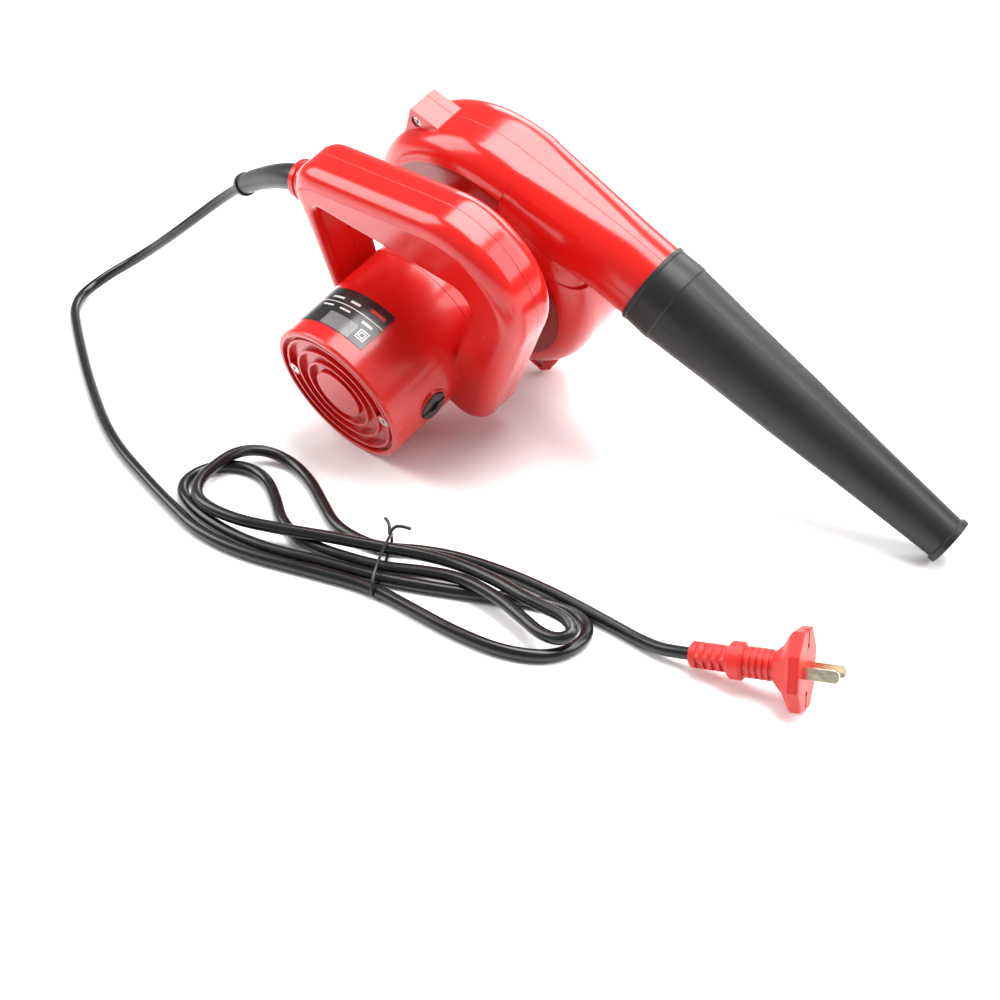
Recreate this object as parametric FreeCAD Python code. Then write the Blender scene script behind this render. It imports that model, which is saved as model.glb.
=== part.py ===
import FreeCAD, Part
import math
import os

from FreeCAD import Matrix, Rotation, Vector

# Hand-held air blower, lying on its nozzle rim, its lower screw ear and the rim of its motor end.
# All pieces are built in the blower's own axes: the motor shaft is the Y axis with the motor end
# towards -Y and the fan casing around y = 0, the nozzle points along +X, and the grip is at +Z.
# place() then turns and drops them into the standing frame, where the floor is z = 0.
# Millimetres throughout.

# ---- driving dimensions: motor barrel
BARREL_R = 48.0
BARREL_WALL = 2.6
MOTOR_END_Y = -154.5
END_RECESS = 4.0
END_WALL = 3.5
RIM_INNER_R = 44.2
RING_RADII = (23.7, 32.2, 40.6)
RING_T = 1.6
END_DISC_R = 17.0
BRUSH_Y = -123.0
BRUSH_ANGLE = 14.5
CAP_R = 9.6
MOTOR_BOLT_ANGLE = 25.5
MOTOR_BOLT_R = 37.9

# ---- driving dimensions: handle body
SEAM_Y = -79.0
NEAR_Y = -99.0
FAR_Y = -62.0
WALL = 2.6
OUTER_EDGE_R = 11.0
LOOP_EDGE_R = 5.0
PULL_SLOPE = 21.6
BODY_CORNERS = ((-106.7, 67.0, 24.0), (71.5, 174.0, 52.0), (71.5, -29.0, 20.0), (20.0, -29.0, 9.0),
                (-10.0, -44.0, 14.0), (-54.6, -25.0, 20.0))
LOOP_CORNERS = ((-79.5, 54.0, 8.0), (37.0, 100.0, 11.0), (37.0, 22.0, 6.0), (0.0, 6.0, 2.0),
                (-46.0, -13.2, 1.0))

# ---- driving dimensions: fan casing
CASE_HALF_W = 28.0
CASE_WALL = 2.5
CASE_EDGE_R = 17.0
CASE_DRUM_R = 77.5
OUTLET_Z = 74.3
OUTLET_R = 24.8
OUTLET_END_X = 116.0
INLET_R = 26.3
INLET_WALL_R = 30.5
INLET_DEPTH = 12.0
CASE_FLANGE_R = 57.0
EAR_HALF_T = 14.4
EAR_FAR_T = 7.0
TOP_EAR = (-81.0, 67.0)
FOOT_EAR = (66.5, -77.0)

# ---- driving dimensions: nozzle
NOZZLE_START = 95.65
NOZZLE_END = 320.65
COLLAR_END = 114.6
NOZZLE_WALL = 2.2
TIP_RIM_R = 14.84
TIP_BORE_R = 11.6
TIP_BORE_L = 12.0

# ---- driving dimensions: rotating parts
SHAFT_R = 4.0
COMMUTATOR_R = 12.0
CORE_R = 21.0
IMPELLER_R = 64.0
IMPELLER_BLADES = 9

# ---- driving dimensions: cord and plug
CORD_D = 7.0

# ---- standing frame: where the blower's own origin is, above the floor
STAND_X = -79.94
STAND_Y = 53.18


# ---------------------------------------------------------------- helpers
def along_y(radius, y0, y1, x=0.0, z=0.0):
    return Part.makeCylinder(radius, y1 - y0, Vector(x, y0, z), Vector(0, 1, 0))


def ring_y(outer, inner, y0, y1, x=0.0, z=0.0):
    return along_y(outer, y0, y1, x, z).cut(along_y(inner, y0 - 1, y1 + 1, x, z))


def block(x0, x1, y0, y1, z0, z1):
    return Part.makeBox(x1 - x0, y1 - y0, z1 - z0, Vector(x0, y0, z0))


def polar(radius, degrees, y=0.0):
    angle = math.radians(degrees)
    return Vector(radius * math.cos(angle), y, radius * math.sin(angle))


def turned(shape, degrees):
    """The shape turned about the motor axis, from +X towards +Z."""
    copy = shape.copy()
    copy.rotate(Vector(0, 0, 0), Vector(0, 1, 0), -degrees)
    return copy


def union(shapes):
    first = shapes[0]
    return first.fuse(shapes[1:]).removeSplitter() if len(shapes) > 1 else first


def rounded_wire(corners, y):
    """Closed wire in the plane y, with a tangent arc of the given radius at each (x, z, radius) corner."""
    count = len(corners)
    edges = []
    spans = []
    for index in range(count):
        here = Vector(corners[index][0], y, corners[index][1])
        before = Vector(corners[index - 1][0], y, corners[index - 1][1])
        after = Vector(corners[(index + 1) % count][0], y, corners[(index + 1) % count][1])
        to_before = (before - here).normalize()
        to_after = (after - here).normalize()
        half = to_before.getAngle(to_after) / 2
        radius = corners[index][2]
        reach = radius / math.tan(half)
        middle = (to_before + to_after).normalize() * (radius / math.sin(half) - radius)
        spans.append((here + to_before * reach, here + middle, here + to_after * reach))
    for index in range(count):
        start, middle, end = spans[index]
        edges.append(Part.Arc(start, middle, end).toShape())
        edges.append(Part.LineSegment(end, spans[(index + 1) % count][0]).toShape())
    return Part.Wire(edges)


def prism(wire, y1):
    """Solid from a wire in a plane of constant y, drawn out to y1."""
    y0 = wire.BoundBox.YMin
    return Part.Face(wire).extrude(Vector(0, y1 - y0, 0))


def offset_wire(wire, distance):
    return Part.Face(wire).makeOffset2D(distance).OuterWire


def lathe_x(points, z):
    """Solid turned about the nozzle axis from (x, radius) points; the outline closes on itself."""
    corners = [Vector(x, 0, z + radius) for x, radius in points]
    outline = Part.makePolygon(corners + [corners[0]])
    return Part.Face(outline).revolve(Vector(0, 0, z), Vector(1, 0, 0), 360)


def lathe_y(points):
    """Solid turned about the motor axis from (y, radius) points; the outline closes on itself."""
    corners = [Vector(radius, y, 0) for y, radius in points]
    outline = Part.makePolygon(corners + [corners[0]])
    return Part.Face(outline).revolve(Vector(0, 0, 0), Vector(0, 1, 0), 360)


def edges_at(shape, y, length_over=1.0):
    """The shape's edges that lie in the plane y."""
    found = []
    for edge in shape.Edges:
        box = edge.BoundBox
        if abs(box.YMin - y) < 0.01 and abs(box.YMax - y) < 0.01 and edge.Length > length_over:
            found.append(edge)
    return found


def coil_spring(radius, wire, length, turns, start, direction):
    """A round-wire compression spring from start along direction."""
    helix = Part.makeHelix(length / turns, length, radius)
    profile = Part.Wire([Part.makeCircle(wire / 2, Vector(radius, 0, 0), Vector(0, 1, 0))])
    solid = Part.Wire(helix.Edges).makePipeShell([profile], True, True)
    solid.Placement = FreeCAD.Placement(start, Rotation(Vector(0, 0, 1), direction))
    return solid


# ---------------------------------------------------------------- frame around the grip
GRIP_DIRECTION = Vector(math.cos(math.radians(PULL_SLOPE)), 0, math.sin(math.radians(PULL_SLOPE)))
GRIP_NORMAL = Vector(-math.sin(math.radians(PULL_SLOPE)), 0, math.cos(math.radians(PULL_SLOPE)))
PULL_CENTRE = Vector(12.0, SEAM_Y, 90.2)


def grip_block(along0, along1, across0, across1, up0, up1):
    """A box in the grip's own directions, measured from the middle of the trigger's seat."""
    shape = Part.makeBox(along1 - along0, across1 - across0, up1 - up0, Vector(along0, across0, up0))
    shape.rotate(Vector(0, 0, 0), Vector(0, 1, 0), -PULL_SLOPE)
    shape.translate(PULL_CENTRE)
    return shape


def inside_loop(edge):
    """Whether an edge belongs to the hand opening's own outline."""
    box = edge.BoundBox
    return box.XMin > -84 and box.XMax < 41 and box.ZMin > -17 and box.ZMax < 104


def handle_ring(face_y, seam_y, inset, outer_r, loop_r):
    """Looped slab from a face to the seam, inset all round, with the face's outer and loop edges rounded."""
    low, high = min(face_y, seam_y), max(face_y, seam_y)
    outline = rounded_wire(BODY_CORNERS, low)
    loop = rounded_wire(LOOP_CORNERS, low - 1)
    if inset:
        outline = offset_wire(outline, -inset)
        loop = offset_wire(loop, inset)
    ring = prism(outline, high)
    ring = ring.makeFillet(outer_r, edges_at(ring, face_y))
    ring = ring.cut(prism(loop, high + 1))
    return ring.makeFillet(loop_r, [e for e in edges_at(ring, face_y) if inside_loop(e)])


def handle_half(outside_y, seam_y):
    """One half of the handle as a solid with rounded outer edges, and the cavity that hollows it."""
    frame = handle_ring(outside_y, seam_y, 0.0, OUTER_EDGE_R, LOOP_EDGE_R)
    shell_y = outside_y + math.copysign(WALL, seam_y - outside_y)
    cavity = handle_ring(shell_y, seam_y, WALL, OUTER_EDGE_R - WALL, LOOP_EDGE_R - WALL + 0.8)
    low, high = min(shell_y, seam_y), max(shell_y, seam_y)
    return frame, cavity.cut(along_y(BARREL_R, low - 1, high + 1))


HANDLE_SCREWS = ((-87.0, 61.5), (48.0, 112.5), (54.0, 52.0), (54.0, -10.0))
TRIGGER_LEN = 27.0
TRIGGER_HALF_W = 6.0
TRIGGER_TRAVEL = 5.0


GLAND_DIRECTION = Vector(-0.80, 0, -0.60)
GLAND_FACE = Vector(-102.0, SEAM_Y, 34.0)
GLAND_LEN = 15.0
GLAND_R = 12.7


def gland_point(inward, aside=0.0):
    """A point on the gland's axis, inwards from its face, or aside from the axis towards the grip."""
    return GLAND_FACE - GLAND_DIRECTION * inward + Vector(-0.60, 0, 0.80) * aside


def gland_rod(radius, inward0, inward1):
    return Part.makeCylinder(radius, inward1 - inward0, gland_point(inward0), GLAND_DIRECTION * -1)


def gland_collar():
    """The ringed round collar that both handle halves form around the boot."""
    shape = gland_rod(GLAND_R - 0.9, 0.0, GLAND_LEN - 0.5)
    rings = [gland_rod(GLAND_R, 0.0, 4.0), gland_rod(GLAND_R, 6.0, GLAND_LEN - 0.5)]
    return shape.fuse(rings).removeSplitter()


def half_space(seam_side):
    """A large block on one side of the seam, -1 for the motor end and +1 for the fan."""
    if seam_side < 0:
        return block(-200, 200, -200, SEAM_Y, -200, 250)
    return block(-200, 200, SEAM_Y, 20, -200, 250)


def handle_details(shape, seam_side, deep_y):
    """Adds the gland collar and screw bosses to a handle half, and cuts the trigger slot."""
    shape = shape.fuse(gland_collar().common(half_space(seam_side)))
    depth = abs(deep_y - SEAM_Y)
    for x, z in HANDLE_SCREWS:
        low = min(deep_y, SEAM_Y)
        shape = shape.fuse(along_y(4.2, low, low + depth, x, z))
    shape = shape.cut(gland_rod(8.25, -1.0, GLAND_LEN + 1.0))
    shape = shape.cut(gland_rod(10.8, GLAND_LEN + 0.7, GLAND_LEN + 3.5))
    slot = grip_block(-TRIGGER_LEN / 2 - 0.5, TRIGGER_LEN / 2 + 0.5,
                      -TRIGGER_HALF_W - 0.5, TRIGGER_HALF_W + 0.5, -14.0, 2.8)
    return shape.cut(slot)


# ---------------------------------------------------------------- casings
def motor_housing():
    """Barrel with its ringed end face, in one moulding with the near half of the handle."""
    frame, cavity = handle_half(NEAR_Y, SEAM_Y)
    barrel = lathe_y(((MOTOR_END_Y + END_RECESS, 0.0), (MOTOR_END_Y + END_RECESS, RIM_INNER_R),
                      (MOTOR_END_Y, RIM_INNER_R), (MOTOR_END_Y, BARREL_R - 1.6),
                      (MOTOR_END_Y + 0.5, BARREL_R - 0.5), (MOTOR_END_Y + 1.8, BARREL_R),
                      (SEAM_Y, BARREL_R), (SEAM_Y, 0.0)))
    body = union([barrel, frame, cap_pocket(1), cap_pocket(-1)])
    inside_y = MOTOR_END_Y + END_RECESS + END_WALL
    body = body.cut(along_y(BARREL_R - BARREL_WALL, inside_y, SEAM_Y + 1))
    body = body.cut(cavity)
    body = handle_details(body, -1, NEAR_Y + WALL)
    additions = []
    for radius in RING_RADII:
        additions.append(ring_y(radius + RING_T / 2, radius - RING_T / 2,
                                MOTOR_END_Y + 0.8, MOTOR_END_Y + END_RECESS + 0.5))
    additions.append(along_y(END_DISC_R, MOTOR_END_Y + 0.8, MOTOR_END_Y + END_RECESS + 0.5))
    for side in (0, 180):
        spot = polar(MOTOR_BOLT_R, MOTOR_BOLT_ANGLE + side)
        additions.append(along_y(4.6, MOTOR_END_Y + 0.8, inside_y + 6.0, spot.x, spot.z))
    additions.append(ring_y(14.0, 11.0, inside_y - 0.5, inside_y + 7.3))
    body = body.cut(lead_hole())
    for angle in (60, 120, 240, 300):
        rib = block(41.3, BARREL_R - 1.0, inside_y - 0.5, SEAM_Y, -1.5, 1.5)
        additions.append(turned(rib, angle))
    body = body.fuse(additions)
    for side in (0, 180):
        spot = polar(MOTOR_BOLT_R, MOTOR_BOLT_ANGLE + side)
        body = body.cut(along_y(2.2, MOTOR_END_Y - 1, inside_y + 7, spot.x, spot.z))
        body = body.cut(along_y(3.8, MOTOR_END_Y - 1, MOTOR_END_Y + 3.4, spot.x, spot.z))
    for x, z in HANDLE_SCREWS:
        body = body.cut(along_y(1.55, SEAM_Y - 14.0, SEAM_Y + 1, x, z))
    for side in (1, -1):
        body = body.cut(brush_bore(side, 5.2, 20.0)).cut(brush_bore(side, CAP_R + 0.15, 45.3))
    for index in range(7):
        body = body.cut(turned(block(40, 60, MOTOR_END_Y + 12.0, MOTOR_END_Y + 26.0, -1.6, 1.6),
                               252 + index * 6))
    return body.removeSplitter()


def brush_bore(side, radius, reach):
    """A round cutter along the brush axis, outwards from the given distance."""
    angle = BRUSH_ANGLE if side > 0 else BRUSH_ANGLE + 180
    start = polar(reach, angle, BRUSH_Y)
    return Part.makeCylinder(radius, 40.0, start, polar(1.0, angle))


def cap_pocket(side):
    """The low round boss on the barrel that the brush cap screws into."""
    angle = BRUSH_ANGLE if side > 0 else BRUSH_ANGLE + 180
    start = polar(40.0, angle, BRUSH_Y)
    return Part.makeCylinder(CAP_R + 1.4, 8.3, start, polar(1.0, angle))


def handle_cover():
    """Far half of the handle, in one moulding with the barrel's second half and the fan flange."""
    frame, cavity = handle_half(FAR_Y, SEAM_Y)
    tube = lathe_y(((SEAM_Y, 0.0), (SEAM_Y, BARREL_R), (-45.0, BARREL_R), (-34.0, BARREL_R + 6),
                    (-32.0, CASE_FLANGE_R), (-CASE_HALF_W, CASE_FLANGE_R), (-CASE_HALF_W, 0.0)))
    body = frame.fuse(tube)
    body = body.cut(along_y(BARREL_R - BARREL_WALL, SEAM_Y - 1, -CASE_HALF_W + 1))
    body = body.cut(cavity)
    body = handle_details(body, 1, FAR_Y - WALL)
    for x, z in HANDLE_SCREWS:
        body = body.cut(along_y(2.2, SEAM_Y - 1, FAR_Y + 1, x, z))
        body = body.cut(along_y(3.9, FAR_Y - 4.5, FAR_Y + 1, x, z))
    for angle in (45, 135, 225, 315):
        spot = polar(50.5, angle)
        body = body.fuse(along_y(4.5, -50.0, -CASE_HALF_W, spot.x, spot.z).common(
            along_y(CASE_FLANGE_R, -51, -20)))
        body = body.cut(along_y(1.55, -46.0, -CASE_HALF_W + 1, spot.x, spot.z))
    body = body.cut(along_y(42.4, SEAM_Y - 1, -CASE_HALF_W + 1))
    return body.removeSplitter()


def scroll_wire(y, grow):
    """The fan casing's outline: four quarter turns whose radius shrinks from the outlet round to the tongue."""
    radii = (92.0 + grow, 88.5 + grow, 85.0 + grow, 80.5 + grow)
    top = Vector(0, y, radii[0])
    left = Vector(-radii[0], y, 0)
    centre_2 = left.x + radii[1]
    bottom = Vector(centre_2, y, -radii[1])
    centre_3 = bottom.z + radii[2]
    right = Vector(centre_2 + radii[2], y, centre_3)
    centre_4 = right.x - radii[3]
    end = Vector(centre_4 + radii[3] * math.cos(math.radians(36)), y,
                 centre_3 + radii[3] * math.sin(math.radians(36)))
    corner = math.sqrt(0.5)
    arcs = [
        Part.Arc(top, Vector(-radii[0] * corner, y, radii[0] * corner), left),
        Part.Arc(left, Vector(centre_2 - radii[1] * corner, y, -radii[1] * corner), bottom),
        Part.Arc(bottom, Vector(centre_2 + radii[2] * corner, y, centre_3 - radii[2] * corner), right),
        Part.Arc(right, Vector(centre_4 + radii[3] * math.cos(math.radians(18)), y,
                               centre_3 + radii[3] * math.sin(math.radians(18))), end),
    ]
    edges = [arc.toShape() for arc in arcs]
    edges.append(Part.LineSegment(end, Vector(0, y, radii[0] * 0.62)).toShape())
    edges.append(Part.LineSegment(Vector(0, y, radii[0] * 0.62), top).toShape())
    return Part.Wire(edges)


def duct_section(x, half_w, low, high, radius):
    """A rounded rectangle across the outlet at x."""
    corners = ((-half_w, low), (half_w, low), (half_w, high), (-half_w, high))
    wire = rounded_wire([(a, b, radius) for a, b in corners], 0)
    wire.rotate(Vector(0, 0, 0), Vector(0, 0, 1), 90)
    wire.translate(Vector(x, 0, 0))
    return wire


def outlet_duct(grow):
    """The passage from the scroll's top to the round outlet."""
    near = duct_section(-2.0, 27.0 + grow, 44.0 - grow, 92.0 + grow, 16.0 + grow)
    far_r = OUTLET_R + grow
    reach = far_r - 0.05
    far = duct_section(75.0, reach, OUTLET_Z - reach, OUTLET_Z + reach, reach - 0.1)
    loft = Part.makeLoft([near, far], True, False)
    pipe = Part.makeCylinder(far_r, OUTLET_END_X - 74.5, Vector(74.5, 0, OUTLET_Z), Vector(1, 0, 0))
    return loft.fuse(pipe)


def case_body(grow):
    """Solid of the whole fan casing, shrunk by a negative grow for its inside."""
    half = CASE_HALF_W + grow
    scroll = prism(scroll_wire(-half, grow), half)
    rounded = [e for e in edges_at(scroll, -half, 40.0) + edges_at(scroll, half, 40.0)
               if e.Curve.TypeId == "Part::GeomCircle"]
    scroll = scroll.makeFillet(CASE_EDGE_R + grow, rounded)
    drum = along_y(CASE_DRUM_R + grow, -half, half)
    drum = drum.makeFillet(CASE_EDGE_R + grow, [e for e in drum.Edges if e.Closed and e.Length > 300])
    return scroll.fuse([drum, outlet_duct(grow)]).removeSplitter()


def ear(corner, sign):
    """A square-cornered screw ear on the casing, sign +1 at the top left and -1 at the lower right."""
    x, z = corner
    base = Vector(-52.0, 0, 56.0) if sign > 0 else Vector(42.0, 0, -56.0)
    if sign > 0:
        points = ((x, z - 26), (x, z), (x + 27, z + 4), (base.x, base.z), (x + 16, z - 32))
    else:
        points = ((x + 5, z + 40), (x + 1, z + 9), (x - 4, z), (x - 16, z), (base.x - 4, base.z), (base.x, -20))
    corners = [Vector(a, -EAR_HALF_T, b) for a, b in points]
    solid = Part.Face(Part.makePolygon(corners + [corners[0]])).extrude(
        Vector(0, EAR_HALF_T + EAR_FAR_T, 0))
    return solid


TOP_EAR_HOLE = (-74.5, 60.0)
FOOT_EAR_HOLE = (58.5, -70.5)


def case_half(side):
    """One half of the fan casing: side -1 next to the motor, +1 with the inlet."""
    shell = case_body(0.0)
    ears = [ear(TOP_EAR, 1), ear(FOOT_EAR, -1)]
    shell = shell.fuse(ears)
    hollow = case_body(-CASE_WALL).fuse(
        Part.makeCylinder(OUTLET_R - CASE_WALL, 60, Vector(OUTLET_END_X - 50, 0, OUTLET_Z), Vector(1, 0, 0)))
    shell = shell.cut(hollow)
    if side < 0:
        keep = block(-200, 300, -60, 0, -200, 200)
    else:
        keep = block(-200, 300, 0, 60, -200, 200)
    half = shell.common(keep)
    for x, z in (TOP_EAR_HOLE, FOOT_EAR_HOLE):
        if side < 0:
            half = half.cut(along_y(2.1, -EAR_HALF_T - 1, 1, x, z))
            half = half.cut(along_y(3.9, -EAR_HALF_T - 1, -EAR_HALF_T + 3.5, x, z))
        else:
            half = half.cut(along_y(1.55, -1, EAR_FAR_T - 1.0, x, z))
    return half


def fan_case_rear():
    half = case_half(-1)
    half = half.cut(along_y(12.0, -CASE_HALF_W - 1, -20))
    for angle in (45, 135, 225, 315):
        spot = polar(50.5, angle)
        half = half.cut(along_y(2.1, -CASE_HALF_W - 1, -20, spot.x, spot.z))
    for index in range(8):
        spot = polar(24.0, index * 45 + 22.5)
        half = half.cut(along_y(4.5, -CASE_HALF_W - 1, -20, spot.x, spot.z))
    return half.removeSplitter()


def fan_case_front():
    """Inlet half, with a round socket around the inlet and a spoked guard at its foot."""
    half = case_half(1)
    floor_y = CASE_HALF_W - 3.0
    socket = along_y(INLET_WALL_R, floor_y - 4.0, floor_y + INLET_DEPTH)
    half = half.fuse(socket)
    half = half.cut(along_y(INLET_R - 2.5, 10, CASE_HALF_W + 20))
    half = half.cut(along_y(INLET_R, floor_y, CASE_HALF_W + 20))
    spokes = [along_y(4.0, floor_y - 3.4, floor_y - 0.6)]
    for radius in (10.5, 18.0):
        spokes.append(ring_y(radius + 0.9, radius - 0.9, floor_y - 3.4, floor_y - 0.6))
    for index in range(8):
        spoke = block(3.0, INLET_R - 1.0, floor_y - 3.2, floor_y - 0.8, -0.9, 0.9)
        spokes.append(turned(spoke, index * 45 + 10))
    return half.fuse(spokes).removeSplitter()


def nozzle():
    """Rubber nozzle pushed over the round outlet: a collar, a long taper and a small rim."""
    wall = NOZZLE_WALL
    outside = ((NOZZLE_START, 25.9), (NOZZLE_START + 2.2, 25.9), (NOZZLE_START + 2.9, 25.4),
               (COLLAR_END - 1.6, 25.9), (COLLAR_END, 25.9), (COLLAR_END + 0.8, 25.4),
               (150.0, 23.2), (205.0, 20.4), (250.0, 17.3), (NOZZLE_END - 4.2, 13.5),
               (NOZZLE_END - 3.4, TIP_RIM_R), (NOZZLE_END, TIP_RIM_R))
    inside = ((NOZZLE_END, TIP_BORE_R), (NOZZLE_END - TIP_BORE_L, TIP_BORE_R), (250.0, 17.3 - wall),
              (205.0, 20.4 - wall), (150.0, 23.2 - wall), (OUTLET_END_X + 5, 22.3),
              (OUTLET_END_X + 0.6, 22.4), (OUTLET_END_X + 0.6, OUTLET_R + 0.06),
              (NOZZLE_START, OUTLET_R + 0.06))
    return lathe_x(outside + inside, OUTLET_Z)


# ---------------------------------------------------------------- rotating parts
def rotor_shaft():
    return lathe_y(((-147.0, 0.0), (-147.0, 3.6), (-146.6, SHAFT_R), (-17.2, SHAFT_R), (-17.2, 3.4),
                    (9.6, 3.4), (10.0, 3.0), (10.0, 0.0)))


def armature_core():
    core = ring_y(CORE_R, SHAFT_R, -108.0, -74.0)
    for index in range(12):
        slot = block(10.5, 19.8, -109.0, -73.0, -1.9, 1.9)
        mouth = block(19.0, 22.0, -109.0, -73.0, -0.8, 0.8)
        core = core.cut(turned(slot.fuse(mouth), index * 30))
    return core


def armature_windings():
    front = lathe_y(((-113.0, 9.0), (-114.0, 13.0), (-112.5, 17.5), (-108.2, 19.0), (-108.2, 9.0)))
    back = lathe_y(((-73.8, 9.0), (-73.8, 19.0), (-69.0, 17.5), (-67.0, 13.0), (-68.0, 9.0)))
    bars = []
    for index in range(12):
        bars.append(turned(block(11.2, 19.2, -108.2, -73.8, -1.5, 1.5), index * 30))
    return front.fuse([back] + bars).removeSplitter()


def commutator():
    body = ring_y(COMMUTATOR_R, SHAFT_R, -132.0, -115.0)
    riser = ring_y(COMMUTATOR_R + 1.8, SHAFT_R, -116.8, -114.4)
    body = body.fuse(riser)
    for index in range(24):
        body = body.cut(turned(block(10.6, 15.0, -133.0, -114.0, -0.25, 0.25), index * 15 + 7.5))
    return body


def cooling_fan():
    hub = ring_y(8.0, SHAFT_R, -64.0, -56.0)
    disc = ring_y(36.0, 7.0, -58.0, -56.5)
    blades = []
    for index in range(12):
        blade = block(12.0, 35.5, -64.0, -57.9, -0.7, 0.7)
        blades.append(turned(blade, index * 30))
    return hub.fuse([disc] + blades).removeSplitter()


def impeller():
    """Open fan wheel: a back plate, a hub and backward-swept blades."""
    plate = ring_y(IMPELLER_R, 3.4, -17.0, -14.8)
    hub = lathe_y(((-17.0, 3.4), (-17.0, 16.0), (-12.0, 14.0), (-4.0, 9.0), (2.0, 8.5), (2.0, 3.4)))
    blades = []
    for index in range(IMPELLER_BLADES):
        centre = Vector(34.0, -15.0, -18.0)
        outer = along_y(31.5, -15.0, 11.0, centre.x, centre.z)
        inner = along_y(29.7, -16.0, 12.0, centre.x, centre.z)
        blade = outer.cut(inner).common(ring_y(IMPELLER_R - 0.4, 13.0, -15.5, 12.0))
        blade = blade.common(block(0, 80, -16, 12, -8, 60))
        blades.append(turned(blade, index * 360.0 / IMPELLER_BLADES))
    wheel = plate.fuse([hub] + blades)
    cone = lathe_y(((13.0, 18.0), (9.5, 28.0), (3.0, IMPELLER_R + 1), (13.0, IMPELLER_R + 1)))
    return wheel.cut(cone).removeSplitter()


def impeller_nut():
    washer = ring_y(7.5, 3.45, 2.0, 3.2)
    points = [polar(6.5, 60 * index, 3.2) for index in range(6)]
    nut = Part.Face(Part.makePolygon(points + [points[0]])).extrude(Vector(0, 5.2, 0))
    nut = nut.cut(along_y(3.45, 2.0, 9.0))
    return Part.makeCompound([washer, nut])


REAR_BEARING = (-146.7, -139.7)
FRONT_BEARING = (-49.0, -42.0)


def bearing_inner_races():
    return Part.makeCompound([ring_y(6.1, SHAFT_R, a, b) for a, b in (REAR_BEARING, FRONT_BEARING)])


def bearing_outer_races():
    return Part.makeCompound([ring_y(11.0, 9.0, a, b) for a, b in (REAR_BEARING, FRONT_BEARING)])


def bearing_balls():
    balls = []
    for a, b in (REAR_BEARING, FRONT_BEARING):
        for index in range(8):
            spot = polar(7.55, index * 45, (a + b) / 2)
            balls.append(Part.makeSphere(1.4, spot))
    return Part.makeCompound(balls)


# ---------------------------------------------------------------- still motor parts
def stator_core():
    """Laminated ring with two pole shoes, held by the housing's ribs and the two long bolts."""
    core = ring_y(41.2, 35.6, -110.0, -70.0)
    for side in (0, 180):
        pole = ring_y(36.0, CORE_R + 0.8, -110.0, -70.0)
        wedge = block(0, 60, -111, -69, -60, 60)
        pole = pole.common(turned(wedge, 90 + side))
        pole = pole.cut(turned(block(-5, 60, -111, -69, -60, -17), 90 + side))
        pole = pole.cut(turned(block(-5, 60, -111, -69, 17, 60), 90 + side))
        core = core.fuse(pole)
    for side in (0, 180):
        spot = polar(MOTOR_BOLT_R, MOTOR_BOLT_ANGLE + side)
        core = core.cut(along_y(2.2, -111, -69, spot.x, spot.z))
    return core.removeSplitter()


def field_windings():
    """Two saddle coils, one round each pole, as closed loops of wound wire."""
    coils = []
    for side in (90, 270):
        solid = ring_y(34.6, 24.0, -115.0, -65.0).common(turned(block(2.0, 60, -116, -64, -60, 60), side))
        solid = solid.cut(turned(block(-5, 60, -110.4, -69.6, -17.4, 17.4), side))
        coils.append(solid)
    return Part.makeCompound(coils)


def bearing_plate():
    """Die-cast cross plate between the motor and the fan that holds the front bearing."""
    hub = ring_y(14.0, 11.0, FRONT_BEARING[0], FRONT_BEARING[1])
    web = ring_y(42.0, 13.0, -44.5, -41.5)
    plate = hub.fuse(web)
    for index in range(6):
        spot = polar(27.0, index * 60)
        plate = plate.cut(along_y(8.0, -46, -40, spot.x, spot.z))
    return plate.fuse(ring_y(14.0, 8.0, -42.0, -40.5)).removeSplitter()


def brush_frame(shape, side):
    """Turns a piece built along +X at the brush height onto its side of the motor."""
    return turned(shape, BRUSH_ANGLE if side > 0 else BRUSH_ANGLE + 180)


def brush_holders():
    holders = []
    for side in (1, -1):
        tube = block(15.0, 38.6, BRUSH_Y - 5.4, BRUSH_Y + 5.4, -4.4, 4.4)
        tube = tube.cut(block(14.0, 40.0, BRUSH_Y - 4.1, BRUSH_Y + 4.1, -3.1, 3.1))
        tube = tube.fuse(block(34.0, 38.6, BRUSH_Y - 8.0, BRUSH_Y - 5.4, -4.4, 4.4))
        holders.append(brush_frame(tube, side))
    return Part.makeCompound(holders)


def carbon_brushes():
    brushes = []
    for side in (1, -1):
        brick = block(12.1, 27.0, BRUSH_Y - 4.0, BRUSH_Y + 4.0, -3.0, 3.0)
        brushes.append(brush_frame(brick.cut(along_y(COMMUTATOR_R + 0.05, BRUSH_Y - 9, BRUSH_Y + 9)), side))
    return Part.makeCompound(brushes)


def brush_spring(side):
    return brush_frame(coil_spring(2.2, 0.7, 12.4, 7, Vector(27.5, BRUSH_Y, 0), Vector(1, 0, 0)), side)


def brush_springs():
    return Part.makeCompound([brush_spring(1), brush_spring(-1)])


def brush_cap(side):
    """Slotted round screw cap over the brush, standing just proud of its pocket."""
    disc = Part.makeCylinder(CAP_R, 3.9, Vector(45.4, BRUSH_Y, 0), Vector(1, 0, 0))
    rim = [e for e in disc.Edges if e.BoundBox.XMin > 49.0]
    disc = disc.makeChamfer(0.6, rim)
    stem = Part.makeCylinder(5.0, 5.6, Vector(40.6, BRUSH_Y, 0), Vector(1, 0, 0))
    cap = disc.fuse(stem)
    cap = cap.cut(block(47.9, 60, BRUSH_Y - 12, BRUSH_Y + 12, -1.1, 1.1))
    cap = cap.cut(Part.makeCylinder(3.6, 3.0, Vector(47.5, BRUSH_Y, 0), Vector(1, 0, 0)))
    cap = cap.cut(Part.makeCylinder(2.7, 4.0, Vector(40.0, BRUSH_Y, 0), Vector(1, 0, 0)))
    return brush_frame(cap, side)


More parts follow.
